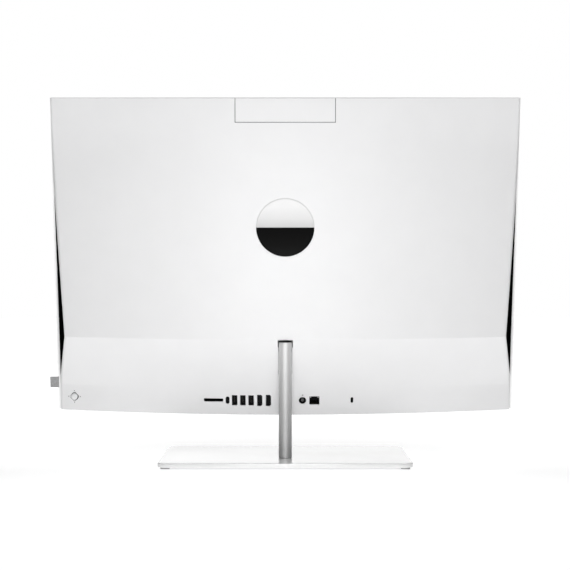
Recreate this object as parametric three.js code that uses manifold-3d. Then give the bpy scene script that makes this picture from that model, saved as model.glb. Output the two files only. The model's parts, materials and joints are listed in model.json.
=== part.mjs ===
// A 27-inch-class all-in-one computer: a tilting screen body with its internals, on a round
// column and a rectangular base plate. Millimetres, +Z up, the screen faces -Y.
// Origin: centre of the base plate, on the desk surface.
import * as THREE from "three";
import { mergeVertices } from "three/addons/utils/BufferGeometryUtils.js";
import Module from "manifold-3d";

const wasm = await Module();
wasm.setup();

// Driving dimensions. In the screen body's own axes x runs along its width, depth runs from
// the screen's front plane to the rear, and height runs up along the screen.
const GAP = 0.3; // between pieces that touch
const BASE = { width: 326, length: 205, bottom: 2.4, top: 8.2, corner: 16, wall: 4 };
const FOOT = { size: 12, height: 2.1, x: 153, y: 89, centreRadius: 10 };
const COLUMN = { radius: 8.6, wall: 2, y: 39.2, top: 159.1, capLip: 1 };
const PIVOT = { z: 148.5, pinRadius: 2.5, pinLength: 16.2, lugHalf: 3.2, eyeRadius: 4.6 };
const BODY = { width: 613.6, height: 417.6, tilt: 9.7, y: -29.4, z: 67.3 };
const FRAME = { depth: 4.7, lip: 2.4, flange: 299.5, chinTop: 77, barTop: 79.6, corner: 2 };
const COVER = { front: 5, wall: 2.5, lowKnee: 31, crease: 106, highKnee: 380 };
const CENTRE_DEPTH = { bottom: 35.6, crease: 55.6, top: 15 };
const SIDE_DEPTH = { edge: 7.5, crease: 35.6 };
const SIDE_SLOPE = 0.395; // how far the side walls lean in, per unit of depth
const SIDE_X = { low: 302.9, top: 306.5 };
const VENT = { low: 43, high: 309, rear: 34 };
const COLUMN_SLOT = { low: 57, top: 105.6, halfWidth: 9.1, mouth: 95, mouthHalfWidth: 9.5 };
const CAMERA_BAY = { halfWidth: 65.6, bottom: 386.3, front: 6.1 };
const EMBLEM = { radius: 37.8, thickness: 1.5, height: 251.3 };
const PORT_HEIGHT = 20.5;
const BOARD = { front: 18.4, rear: 20 };
const FAN = { x: -190, height: 118, radius: 33, front: 12, rear: 26 };
const SPEAKER = { x: 178, halfWidth: 58, rear: 14 };
const JOYSTICK = { x: 283.6, height: 19, pivot: 6.8 };
const POWER = { x: 240, depth: 9.4, width: 14, length: 4.6 };
const TAB = { low: 30, high: 44.8, inner: 304.9, outer: 316.9, front: 3.2, rear: 4.6 };

const whitePaint = material(0xf4f4f4, 0.35, 0);
const whiteGloss = material(0xf8f8f8, 0.12, 0);
const blackPlastic = material(0x121213, 0.5, 0);
const aluminium = material(0xc8c9cb, 0.35, 1);
const steel = material(0x9a9c9f, 0.4, 1);
const rubber = material(0x9b9b9b, 0.8, 0);
const glass = material(0x0a0b0d, 0.05, 0);
const greyFabric = material(0xb9b9ba, 0.95, 0);
const board = material(0x1d5c3c, 0.6, 0);
const copper = material(0xb87448, 0.35, 1);
const mirror = material(0xd8d8da, 0.08, 1);

function material(color, roughness, metalness) {
  return new THREE.MeshStandardMaterial({ color, roughness, metalness });
}

// A closed three.js geometry as a solid that can be joined and cut.
function toSolid(geometry) {
  const bare = geometry.index ? geometry.toNonIndexed() : geometry.clone();
  bare.deleteAttribute("normal");
  bare.deleteAttribute("uv");
  const merged = mergeVertices(bare, 1e-4);
  const vertProperties = merged.attributes.position.array;
  const triVerts = new Uint32Array(merged.index.array);
  return new wasm.Manifold(new wasm.Mesh({ numProp: 3, vertProperties, triVerts }));
}

function toGeometry(solid) {
  const { vertProperties, triVerts } = solid.getMesh();
  return new THREE.BufferGeometry()
    .setAttribute("position", new THREE.BufferAttribute(vertProperties, 3))
    .setIndex(new THREE.BufferAttribute(triVerts, 1));
}

function cut(geometry, ...tools) {
  return toGeometry(tools.reduce((left, tool) => left.subtract(toSolid(tool)), toSolid(geometry)));
}

function join(first, ...others) {
  return toGeometry(others.reduce((sum, other) => sum.add(toSolid(other)), toSolid(first)));
}

function overlapOf(first, second) {
  return toGeometry(toSolid(first).intersect(toSolid(second)));
}

// A box between two corners.
function box(x0, x1, y0, y1, z0, z1) {
  return new THREE.BoxGeometry(x1 - x0, y1 - y0, z1 - z0).translate(
    (x0 + x1) / 2, (y0 + y1) / 2, (z0 + z1) / 2);
}

// Round bars along each axis, between two stations.
function barX(radius, x0, x1, y, z) {
  const bar = new THREE.CylinderGeometry(radius, radius, x1 - x0, 24);
  return bar.rotateZ(-Math.PI / 2).translate((x0 + x1) / 2, y, z);
}

function barY(radius, y0, y1, x, z, sides = 24) {
  return new THREE.CylinderGeometry(radius, radius, y1 - y0, sides).translate(x, (y0 + y1) / 2, z);
}

function barZ(radius, z0, z1, x, y, sides = 24) {
  const bar = new THREE.CylinderGeometry(radius, radius, z1 - z0, sides);
  return bar.rotateX(Math.PI / 2).translate(x, y, (z0 + z1) / 2);
}

function roundedRectangle(x0, x1, y0, y1, radius) {
  const shape = new THREE.Shape();
  shape.moveTo(x0 + radius, y0);
  shape.lineTo(x1 - radius, y0);
  shape.absarc(x1 - radius, y0 + radius, radius, -Math.PI / 2, 0);
  shape.lineTo(x1, y1 - radius);
  shape.absarc(x1 - radius, y1 - radius, radius, 0, Math.PI / 2);
  shape.lineTo(x0 + radius, y1);
  shape.absarc(x0 + radius, y1 - radius, radius, Math.PI / 2, Math.PI);
  shape.lineTo(x0, y0 + radius);
  shape.absarc(x0 + radius, y0 + radius, radius, Math.PI, 1.5 * Math.PI);
  return shape;
}

// A shape drawn in plan, between two heights above the desk.
function plate(shape, z0, z1, curveSegments = 8) {
  const options = { depth: z1 - z0, bevelEnabled: false, curveSegments };
  return new THREE.ExtrudeGeometry(shape, options).translate(0, 0, z0);
}

// A shape drawn in the plane of the screen, between two depths.
function slab(shape, front, rear, curveSegments = 6) {
  const options = { depth: rear - front, bevelEnabled: false, curveSegments };
  return new THREE.ExtrudeGeometry(shape, options).rotateX(Math.PI / 2).translate(0, rear, 0);
}

function polygon(points) {
  return new THREE.Shape(points.map(([x, y]) => new THREE.Vector2(x, y)));
}

// ---- The stand, in the part's own axes ----

function baseOutline(inset) {
  const halfWidth = BASE.width / 2 - inset;
  const halfLength = BASE.length / 2 - inset;
  return roundedRectangle(-halfWidth, halfWidth, -halfLength, halfLength, BASE.corner - inset);
}

function baseShell() {
  const shell = plate(baseOutline(0), BASE.bottom, BASE.top);
  const pocket = plate(baseOutline(BASE.wall), BASE.bottom - 1, BASE.top - 2.6);
  const boltHole = barZ(3.5, BASE.bottom, BASE.top + 1, 0, COLUMN.y);
  return cut(shell, pocket, boltHole);
}

function baseWeight() {
  const slabOfSteel = plate(baseOutline(BASE.wall + GAP), BASE.bottom, BASE.top - 2.6 - GAP);
  const boltHole = barZ(3.5, BASE.bottom - 1, BASE.top, 0, COLUMN.y);
  const headRecess = barZ(7, BASE.bottom - 1, BASE.bottom + 2.3, 0, COLUMN.y);
  return cut(slabOfSteel, boltHole, headRecess);
}

function foot(x, y) {
  const half = FOOT.size / 2;
  return plate(roundedRectangle(x - half, x + half, y - half, y + half, 3), 0, FOOT.height);
}

function baseBolt() {
  const head = barZ(6.4, BASE.bottom + 0.2, BASE.bottom + 2.1, 0, COLUMN.y);
  const shank = barZ(3, BASE.bottom + 1, BASE.top + 22, 0, COLUMN.y);
  return join(head, shank);
}

// The tube that carries the screen. Its top is closed by a cap and crossed by the tilt pin, and
// its front wall is open there for the lug of the screen's bracket.
function column() {
  const bore = COLUMN.radius - COLUMN.wall;
  const lugSlot = PIVOT.lugHalf + 1.4;
  const tube = barZ(COLUMN.radius, BASE.top + GAP, COLUMN.top, 0, COLUMN.y, 48);
  const hollow = barZ(bore, BASE.top, COLUMN.top + 1, 0, COLUMN.y, 32);
  const pinHole = barX(PIVOT.pinRadius + GAP, -12, 12, COLUMN.y, PIVOT.z);
  const frontSlot = box(-lugSlot, lugSlot, COLUMN.y - 12, COLUMN.y, PIVOT.z - 8, COLUMN.top + 1);
  return cut(tube, hollow, pinHole, frontSlot);
}

function columnPlug() {
  const radius = COLUMN.radius - COLUMN.wall - GAP;
  const plug = barZ(radius, BASE.top + GAP, BASE.top + 30, 0, COLUMN.y);
  return cut(plug, barZ(3 + GAP, BASE.top, BASE.top + 24, 0, COLUMN.y));
}

function columnCap() {
  const bore = COLUMN.radius - COLUMN.wall;
  const bottom = COLUMN.top + GAP;
  const rim = COLUMN.radius - 0.2;
  const profile = [
    [0, bottom - 1.2], [bore - GAP, bottom - 1.2], [bore - GAP, bottom], [rim, bottom],
    [rim, bottom + 0.3], [rim - 0.6, bottom + COLUMN.capLip], [0, bottom + COLUMN.capLip],
  ];
  const points = profile.map(([r, z]) => new THREE.Vector2(r, z));
  return new THREE.LatheGeometry(points, 48).rotateX(Math.PI / 2).translate(0, COLUMN.y, 0);
}

function tiltPin() {
  return barX(PIVOT.pinRadius, -PIVOT.pinLength / 2, PIVOT.pinLength / 2, COLUMN.y, PIVOT.z);
}

// A friction washer between the bracket's lug and the column's side wall.
function tiltWasher(side) {
  const near = side * (PIVOT.lugHalf + GAP);
  const far = side * (PIVOT.lugHalf + 1.4);
  const [x0, x1] = [Math.min(near, far), Math.max(near, far)];
  const hole = barX(PIVOT.pinRadius + GAP, x0 - 1, x1 + 1, COLUMN.y, PIVOT.z);
  return cut(barX(4.1, x0, x1, COLUMN.y, PIVOT.z), hole);
}

// ---- The screen body, in its own axes ----

// The rear cover's depth along its centre line and along its side edges.
function centreDepth(height) {
  if (height < COVER.crease) {
    return THREE.MathUtils.lerp(CENTRE_DEPTH.bottom, CENTRE_DEPTH.crease, height / COVER.crease);
  }
  const share = (height - COVER.crease) / (BODY.height - COVER.crease);
  return THREE.MathUtils.lerp(CENTRE_DEPTH.crease, CENTRE_DEPTH.top, share);
}

function sideDepth(height) {
  const knee = height < COVER.crease ? COVER.lowKnee : COVER.highKnee;
  const share = THREE.MathUtils.clamp((height - knee) / (COVER.crease - knee), 0, 1);
  return THREE.MathUtils.lerp(SIDE_DEPTH.edge, SIDE_DEPTH.crease, share);
}

// Half the cover's width where it meets the front frame.
function frontHalfWidth(height) {
  const share = THREE.MathUtils.clamp((height - COVER.crease) / (BODY.height - COVER.crease), 0, 1);
  return THREE.MathUtils.lerp(SIDE_X.low, SIDE_X.top, share);
}

function rearHalfWidth(height) {
  return frontHalfWidth(height) - SIDE_SLOPE * (sideDepth(height) - COVER.front);
}

// Depth of the cover's rear face, which bows out towards the middle.
function coverDepth(x, height) {
  const side = sideDepth(height);
  const bow = 1 - (x / rearHalfWidth(height)) ** 2;
  return side + (centreDepth(height) - side) * bow;
}

// The space inside the rear face, shrunk by inset, from a front depth to the rear face.
function coverShape(inset, front) {
  const heights = [inset, COVER.lowKnee, COVER.crease, COVER.highKnee, BODY.height - inset];
  const columns = 37;
  const spread = SIDE_SLOPE * (COVER.front - front);
  const points = [];
  for (const layer of ["rear", "front"]) {
    for (const height of heights) {
      for (let i = 0; i < columns; i++) {
        const across = (2 * i) / (columns - 1) - 1;
        const x = across * rearHalfWidth(height);
        const rearX = across * (rearHalfWidth(height) - inset);
        const frontX = across * (frontHalfWidth(height) + spread - inset);
        if (layer === "rear") points.push(rearX, coverDepth(x, height) - inset, height);
        else points.push(frontX, front, height);
      }
    }
  }
  const rear = (row, i) => row * columns + i;
  const face = (row, i) => (heights.length + row) * columns + i;
  const triangles = [];
  const quad = (a, b, c, d) => triangles.push(a, b, c, a, c, d);
  const last = heights.length - 1;
  const edge = columns - 1;
  for (let i = 0; i < edge; i++) {
    for (let row = 0; row < last; row++) {
      quad(rear(row, i), rear(row + 1, i), rear(row + 1, i + 1), rear(row, i + 1));
      quad(face(row, i), face(row, i + 1), face(row + 1, i + 1), face(row + 1, i));
    }
    quad(rear(0, i), rear(0, i + 1), face(0, i + 1), face(0, i));
    quad(rear(last, i), face(last, i), face(last, i + 1), rear(last, i + 1));
  }
  for (let row = 0; row < last; row++) {
    quad(rear(row, 0), face(row, 0), face(row + 1, 0), rear(row + 1, 0));
    quad(rear(row, edge), rear(row + 1, edge), face(row + 1, edge), face(row, edge));
  }
  const geometry = new THREE.BufferGeometry();
  geometry.setAttribute("position", new THREE.Float32BufferAttribute(points, 3));
  geometry.setIndex(triangles);
  return geometry;
}

// Where a point of the stand lies in the screen body's axes, at the rest tilt.
function inBody(y, z) {
  const tilt = THREE.MathUtils.degToRad(BODY.tilt);
  const dy = y - BODY.y;
  const dz = z - BODY.z;
  return {
    depth: dy * Math.cos(tilt) - dz * Math.sin(tilt),
    height: dy * Math.sin(tilt) + dz * Math.cos(tilt),
  };
}

const pivot = inBody(COLUMN.y, PIVOT.z);

// Windows in the rear cover that the sockets look out of: x, width and height of each.
const windows = [
  { x: 95.3, width: 27.7, height: 5.4 },
  { x: 76.6, width: 5.1, height: 10.5 },
  { x: 67.2, width: 7.5, height: 14.5 },
  { x: 56.2, width: 7.5, height: 14.5 },
  { x: 45.3, width: 7.5, height: 14.5 },
  { x: 33.9, width: 7.1, height: 16.1 },
  { x: 22.3, width: 7.1, height: 16.1 },
  { x: -38.6, width: 14.4, height: 12.8 },
];

function windowCut({ x, width, height }) {
  const low = PORT_HEIGHT - height / 2;
  return box(x - width / 2, x + width / 2, 28, 60, low, low + height);
}

// The slanting black grille in each side wall, as an outline of depth and height.
function ventOutline(inset) {
  return polygon([
    [COVER.front - 1, VENT.low + inset * 2],
    [COVER.front, VENT.low + inset * 2],
    [VENT.rear - inset, COVER.crease],
    [COVER.front, VENT.high - inset * 8],
    [COVER.front - 1, VENT.high - inset * 8],
  ]);
}

// A prism along x through one side wall, side being 1 or -1.
function ventPrism(inset, x0, x1) {
  const options = { depth: x1 - x0, bevelEnabled: false };
  const prism = new THREE.ExtrudeGeometry(ventOutline(inset), options);
  const axes = new THREE.Matrix4().set(0, 0, 1, x0, 1, 0, 0, 0, 0, 1, 0, 0, 0, 0, 0, 1);
  return prism.applyMatrix4(axes);
}

function emblemPlace(geometry) {
  const slope = (CENTRE_DEPTH.crease - CENTRE_DEPTH.top) / (BODY.height - COVER.crease);
  const depth = centreDepth(EMBLEM.height);
  return geometry.rotateX(Math.atan(slope)).translate(0, depth, EMBLEM.height);
}

function rearCover() {
  const slot = COLUMN_SLOT;
  const cutters = [
    coverShape(COVER.wall, COVER.front - 1),
    box(-slot.halfWidth, slot.halfWidth, 20, 70, slot.low, slot.mouth + 1),
    box(-slot.mouthHalfWidth, slot.mouthHalfWidth, 20, 70, slot.mouth, slot.top),
    box(-CAMERA_BAY.halfWidth, CAMERA_BAY.halfWidth, CAMERA_BAY.front, 30,
      CAMERA_BAY.bottom, BODY.height + 1),
    emblemPlace(barY(EMBLEM.radius + GAP, -EMBLEM.thickness, 5, 0, 0, 48)),
    barY(4.9, 20, 60, -22.8, PORT_HEIGHT),
    barY(1.1, 20, 60, -22.8, PORT_HEIGHT + 7.4, 12),
    slab(roundedRectangle(-90.3, -86.7, PORT_HEIGHT - 3.5, PORT_HEIGHT + 3.5, 1.7), 20, 60),
    barY(5.4, 5, 30, JOYSTICK.x, JOYSTICK.height),
    plate(roundedRectangle(POWER.x - 7.4, POWER.x + 7.4, POWER.depth - 2.7, POWER.depth + 2.7, 2.6),
      -1, 4),
    ventPrism(0, 280, 320),
    ventPrism(0, -320, -280),
    ...windows.map(windowCut),
  ];
  return cut(coverShape(0, COVER.front), ...cutters);
}

// The grille fills its window and sits a little under the wall's outer face.
function sideVent(side) {
  const sunk = cut(coverShape(0.8, COVER.front), coverShape(COVER.wall + 0.4, COVER.front - 1));
  const range = side > 0 ? [280, 320] : [-320, -280];
  const insert = overlapOf(sunk, ventPrism(GAP, ...range));
  const slots = [];
  for (let height = 78; height < 190; height += 7) {
    slots.push(box(side * 300 - 20, side * 300 + 20, 12, 17, height, height + 3));
  }
  return cut(insert, ...slots);
}

function emblemDisc() {
  return emblemPlace(barY(EMBLEM.radius, -EMBLEM.thickness + GAP, 0.3, 0, 0, 48));
}

// A slim rim round the glass and the speaker cloth, with a flange behind them at each side.
function frontFrame() {
  const half = BODY.width / 2;
  const inner = half - FRAME.lip;
  const top = BODY.height - FRAME.lip;
  const outline = slab(roundedRectangle(-half, half, 0, BODY.height, FRAME.corner), 0, FRAME.depth);
  const glassSeat = box(-inner, inner, -1, 1.8, FRAME.barTop, top);
  const clothSeat = box(-inner, inner, -1, 3.1, FRAME.lip, FRAME.chinTop);
  const screenHole = box(-FRAME.flange, FRAME.flange, -1, 10, FRAME.barTop, top);
  const chinHole = box(-FRAME.flange, FRAME.flange, -1, 10, FRAME.lip, FRAME.chinTop);
  const tabSeat = box(TAB.inner - GAP, half + 1, TAB.front - GAP, 10, TAB.low - GAP, TAB.high + GAP);
  return cut(outline, glassSeat, clothSeat, screenHole, chinHole, tabSeat);
}

function frontGlass() {
  const half = BODY.width / 2 - FRAME.lip - GAP;
  return box(-half, half, 0.3, 1.5, FRAME.barTop + GAP, BODY.height - FRAME.lip - GAP);
}

function displayPanel() {
  return box(-299, 299, 1.8, 4.9, FRAME.barTop + 0.8, BODY.height - FRAME.lip - 1.2);
}

function speakerGrille() {
  const half = BODY.width / 2 - FRAME.lip - GAP;
  return box(-half, half, 0.2, 2.8, FRAME.lip + GAP, FRAME.chinTop - GAP);
}

function speaker(side) {
  const x = side * SPEAKER.x;
  const cabinet = box(x - SPEAKER.halfWidth, x + SPEAKER.halfWidth, 3.2, SPEAKER.rear, 14, 66);
  const well = barY(21, 3, 6, x, 40, 40);
  const cone = barY(16, 3.6, 6.2, x, 40, 40);
  return join(cut(cabinet, well), cone);
}

function fabricTab() {
  return box(TAB.inner, TAB.outer, TAB.front, TAB.rear, TAB.low, TAB.high);
}

function chassis() {
  const sheet = box(-268, 268, 5.2, 6.3, 8, 404);
  const bay = box(-78, 78, 0, 20, 346, 410);
  const speakerHoles = [-1, 1].map((side) => box(SPEAKER.x * side - 60, SPEAKER.x * side + 60, 0, 20, 12, 68));
  const screwHoles = [-1, 1].map((side) => barY(2.3, 0, 20, side * 24, 70));
  return cut(sheet, bay, ...speakerHoles, ...screwHoles);
}

// The steel bracket on the chassis. Its lug reaches into the column and turns on the tilt pin.
function hingeBracket() {
  const foundation = box(-32, 32, 7.9, 11.4, 62, 128);
  const neck = 3.8;
  const outline = polygon([
    [11, 68], [pivot.depth - 16, pivot.height - neck], [pivot.depth, pivot.height - neck],
    [pivot.depth, pivot.height + neck], [pivot.depth - 16, pivot.height + neck], [11, 116],
  ]);
  const options = { depth: 2 * PIVOT.lugHalf, bevelEnabled: false };
  const axes = new THREE.Matrix4().set(0, 0, 1, -PIVOT.lugHalf, 1, 0, 0, 0, 0, 1, 0, 0, 0, 0, 0, 1);
  const lug = new THREE.ExtrudeGeometry(outline, options).applyMatrix4(axes);
  const eye = barX(PIVOT.eyeRadius, -PIVOT.lugHalf, PIVOT.lugHalf, pivot.depth, pivot.height);
  const pinHole = barX(PIVOT.pinRadius + GAP, -20, 20, pivot.depth, pivot.height);
  const screwHoles = [-1, 1].map((side) => barY(2.3, 0, 20, side * 24, 70));
  return cut(join(foundation, lug, eye), pinHole, ...screwHoles);
}

function bracketScrew(side) {
  return join(barY(3.8, 11.7, 13.7, side * 24, 70), barY(1.9, 6.4, 12, side * 24, 70));
}

function mainboard() {
  const sheet = box(-106, 178, BOARD.front, BOARD.rear, 8, 200);
  return cut(sheet, box(-37, 37, 10, 30, 57, 133));
}

function coldPlate() {
  return box(-84, -44, BOARD.rear + GAP, 24, 146, 186);
}

// The heat pipe runs from the cold plate, along the board, to the fins beside the fan.
function heatPipe() {
  const route = new THREE.CatmullRomCurve3([
    new THREE.Vector3(-48, 27.4, 166),
    new THREE.Vector3(-120, 27.4, 167),
    new THREE.Vector3(-215, 27.4, 169),
    new THREE.Vector3(-239, 27.4, 162),
    new THREE.Vector3(-244.5, 27.4, 140),
    new THREE.Vector3(-244.5, 27.4, 92),
  ]);
  const section = new THREE.Shape();
  section.absarc(0, 0, 3, 0, 2 * Math.PI);
  const options = { extrudePath: route, steps: 28, bevelEnabled: false, curveSegments: 6 };
  return new THREE.ExtrudeGeometry(section, options);
}

function finStack() {
  const comb = [box(-252, -237, 12, 13, 76, 160), box(-252, -237, 23, 24, 76, 160)];
  for (let height = 77; height < 160; height += 4) {
    comb.push(box(-252, -237, 12.5, 23.5, height, height + 0.6));
  }
  return join(...comb);
}

function fanHousing() {
  const { x, height, radius, front, rear } = FAN;
  const outer = box(x - 44, x + 41, front, rear, height - 42, height + 42);
  const chamber = barY(radius + 3, front + 1.2, rear - 1.2, x, height, 40);
  const outlet = box(x - 50, x - 12, front + 1.2, rear - 1.2, height - 34, height + 30);
  const intake = barY(24, rear - 3, rear + 1, x, height, 32);
  const sleeve = cut(barY(4, front + 0.6, front + 5, x, height), barY(2.4, front + 1.2, 40, x, height));
  return join(cut(outer, chamber, outlet, intake), sleeve);
}

function fanRotor() {
  const { x, height, radius, front, rear } = FAN;
  const pieces = [barY(12, front + 5.6, rear - 2, 0, 0, 32), barY(1.9, front + 1.6, front + 8, 0, 0)];
  const blades = 15;
  for (let i = 0; i < blades; i++) {
    const blade = box(10, radius, front + 6.2, rear - 2.8, -0.6, 0.6);
    pieces.push(blade.rotateY(-0.35).translate(0, 0, 4).rotateY((2 * Math.PI * i) / blades));
  }
  return join(...pieces).translate(x, 0, height);
}

function memoryModule(low) {
  const boardPart = box(70, 138, 23, 24.2, low, low + 30);
  const socket = box(66, 142, BOARD.rear + GAP, 24.6, low - 4, low + 3);
  return join(boardPart, socket, box(76, 98, 22.2, 25, low + 6, low + 22),
    box(108, 130, 22.2, 25, low + 6, low + 22));
}

function solidStateDrive() {
  const blade = box(60, 140, 22.5, 23.4, 62, 84);
  return join(blade, box(134, 146, BOARD.rear + GAP, 24, 61, 85), box(72, 100, 23, 24.6, 66, 80));
}

function wirelessCard() {
  const blade = box(62, 92, 22.5, 23.4, 34, 56);
  return join(blade, box(86, 98, BOARD.rear + GAP, 24, 33, 57), box(66, 82, 23, 25, 37, 53));
}

// ---- Sockets. Each mouth sits just under the rear cover's outer face. ----

function mouthDepth(x, height) {
  return Math.min(coverDepth(x, PORT_HEIGHT - height / 2), coverDepth(x, PORT_HEIGHT)) - 0.4;
}

function socketBody(x, width, height, mouth) {
  const low = PORT_HEIGHT - height / 2;
  return box(x - width / 2, x + width / 2, BOARD.rear + GAP, mouth, low, low + height);
}

function usbSocket(x) {
  const mouth = mouthDepth(x, 13.5);
  const outer = socketBody(x, 6.8, 13.8, mouth);
  const cavity = box(x - 2.8, x + 2.8, mouth - 12, mouth + 1, PORT_HEIGHT - 6.2, PORT_HEIGHT + 6.2);
  const tongue = box(x + 0.3, x + 2.2, mouth - 13, mouth - 1, PORT_HEIGHT - 5.4, PORT_HEIGHT + 5.4);
  return join(cut(outer, cavity), tongue);
}

function reversibleSocket(x) {
  const mouth = mouthDepth(x, 9.6);
  const reach = (half, tall, radius) =>
    roundedRectangle(x - half, x + half, PORT_HEIGHT - tall, PORT_HEIGHT + tall, radius);
  const outer = slab(reach(2.2, 4.9, 2), BOARD.rear + GAP, mouth);
  const cavity = slab(reach(1.7, 4.4, 1.6), mouth - 7, mouth + 1);
  const tongue = box(x - 0.4, x + 0.4, mouth - 8, mouth - 0.8, PORT_HEIGHT - 3.3, PORT_HEIGHT + 3.3);
  return join(cut(outer, cavity), tongue);
}

// A video socket stood on end: its two chamfered corners are on the -x side.
function videoOutline(x, grow) {
  const half = 2.6 + grow;
  const tall = 7.2 + grow;
  return polygon([
    [x + half, PORT_HEIGHT - tall], [x + half, PORT_HEIGHT + tall],
    [x - half + 1.6, PORT_HEIGHT + tall], [x - half, PORT_HEIGHT + tall - 1.8],
    [x - half, PORT_HEIGHT - tall + 1.8], [x - half + 1.6, PORT_HEIGHT - tall],
  ]);
}

function videoSocket(x) {
  const mouth = mouthDepth(x, 15);
  const outer = slab(videoOutline(x, 0.5), BOARD.rear + GAP, mouth);
  const cavity = slab(videoOutline(x, 0), mouth - 9, mouth + 1);
  const tongue = box(x - 0.2, x + 1, mouth - 10, mouth - 1, PORT_HEIGHT - 5.8, PORT_HEIGHT + 5.8);
  return join(cut(outer, cavity), tongue);
}

function cardReader() {
  const mouth = mouthDepth(95.3, 5);
  const outer = socketBody(95.3, 27, 4.7, mouth);
  return cut(outer, box(83.1, 107.5, mouth - 14, mouth + 1, PORT_HEIGHT - 1.3, PORT_HEIGHT + 1.3));
}

function powerJack() {
  const mouth = mouthDepth(-22.8, 9);
  const outer = barY(4.55, BOARD.rear + GAP, mouth, -22.8, PORT_HEIGHT, 32);
  const bore = barY(3.7, mouth - 11, mouth + 1, -22.8, PORT_HEIGHT, 32);
  const pin = barY(1.6, mouth - 12, mouth - 1.2, -22.8, PORT_HEIGHT, 16);
  return join(cut(outer, bore), pin);
}

function networkSocket() {
  const mouth = mouthDepth(-38.6, 12.2);
  const outer = socketBody(-38.6, 13.8, 12.2, mouth);
  const cavity = box(-44.6, -32.6, mouth - 12, mouth + 1, PORT_HEIGHT - 4.9, PORT_HEIGHT + 2.4);
  const latch = box(-41.6, -35.6, mouth - 12, mouth + 1, PORT_HEIGHT, PORT_HEIGHT + 4.6);
  return cut(outer, cavity, latch);
}

function lockPlate() {
  const rear = coverDepth(-95.5, PORT_HEIGHT - 9) - COVER.wall - 0.9;
  const sheet = box(-95.5, -81.5, rear - 2, rear, PORT_HEIGHT - 9, PORT_HEIGHT + 9);
  const slot = roundedRectangle(-90.1, -86.9, PORT_HEIGHT - 3.4, PORT_HEIGHT + 3.4, 1.5);
  return cut(sheet, slab(slot, rear - 5, rear + 5));
}

function statusLight() {
  const height = PORT_HEIGHT + 7.4;
  return barY(0.8, BOARD.rear + GAP, coverDepth(-22.8, height) - 0.2, -22.8, height, 12);
}

// ---- Moving pieces of the screen body ----

function cameraHousing() {
  const margin = CAMERA_BAY.halfWidth - GAP;
  const outer = overlapOf(coverShape(0, COVER.front), box(-margin, margin, CAMERA_BAY.front + GAP, 40,
    CAMERA_BAY.bottom + GAP, BODY.height + 1));
  const lensSeat = barY(5, 5, 9, 0, 404.6, 32);
  const hollow = box(-60, 60, 9.6, 12, CAMERA_BAY.bottom - 1, 413);
  return cut(outer, lensSeat, hollow);
}

function cameraLens() {
  return barY(4.7, 6.8, 8.7, 0, 404.6, 32);
}

// The tray that guides the camera housing: a floor and two side rails.
function cameraCradle() {
  const floor = box(-70, 70, 6.8, 12.4, 374, 385.6);
  const rails = [-1, 1].map((side) => {
    const inner = side * 66.2;
    const outer = side * 70;
    return box(Math.min(inner, outer), Math.max(inner, outer), 6.8, 10.6, 375, 410);
  });
  return join(floor, ...rails);
}

function joystickSwitch() {
  const { x, height } = JOYSTICK;
  return box(x - 6, x + 6, 3.8, 5.7, height - 6, height + 6);
}

function joystickRing() {
  const { x, height, pivot: depth } = JOYSTICK;
  return cut(barY(4.8, depth - 0.6, depth + 0.6, x, height), barY(3.2, 0, 20, x, height));
}

function joystickStem() {
  const { x, height, pivot: depth } = JOYSTICK;
  const disc = barY(2.9, depth - 0.6, depth + 0.6, x, height);
  return join(disc, barY(1.2, depth, depth + 3.4, x, height, 16));
}

function joystickCap() {
  const { x, height, pivot: depth } = JOYSTICK;
  const profile = [
    [1.5, depth + 2.2], [4.4, depth + 2.2], [4.4, depth + 4.2], [3.9, depth + 5], [2.2, depth + 5.5],
    [0, depth + 5.6], [0, depth + 4.2], [1.5, depth + 4.2], [1.5, depth + 2.2],
  ];
  const points = profile.map(([r, y]) => new THREE.Vector2(r, y));
  return new THREE.LatheGeometry(points, 32).translate(x, 0, height);
}

function powerButton() {
  const { x, depth, width, length } = POWER;
  const pill = (grow, radius) => roundedRectangle(x - width / 2 - grow, x + width / 2 + grow,
    depth - length / 2 - grow, depth + length / 2 + grow, radius);
  return join(plate(pill(0, 2.2), 0, 4), plate(pill(1.2, 2.6), 3.6, 4.8));
}

// ---- Assembly ----

function named(name, geometry, look) {
  const mesh = new THREE.Mesh(geometry, look);
  mesh.name = name;
  return mesh;
}

const stand = new THREE.Group();
stand.add(
  named("base_shell", baseShell(), whiteGloss),
  named("base_weight", baseWeight(), steel),
  named("rubber_foot_centre", barZ(FOOT.centreRadius, 0, FOOT.height, 0, 0, 32), rubber),
  named("base_bolt", baseBolt(), steel),
  named("column", column(), aluminium),
  named("column_plug", columnPlug(), steel),
  named("column_cap", columnCap(), aluminium),
  named("tilt_pin", tiltPin(), steel),
);
[[1, 1], [-1, 1], [-1, -1], [1, -1]].forEach(([sideX, sideY], i) => {
  stand.add(named(`rubber_foot_${i + 1}`, foot(sideX * FOOT.x, sideY * FOOT.y), rubber));
});
for (const [name, side] of [["right", 1], ["left", -1]]) {
  stand.add(named(`tilt_washer_${name}`, tiltWasher(side), steel));
}

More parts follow.
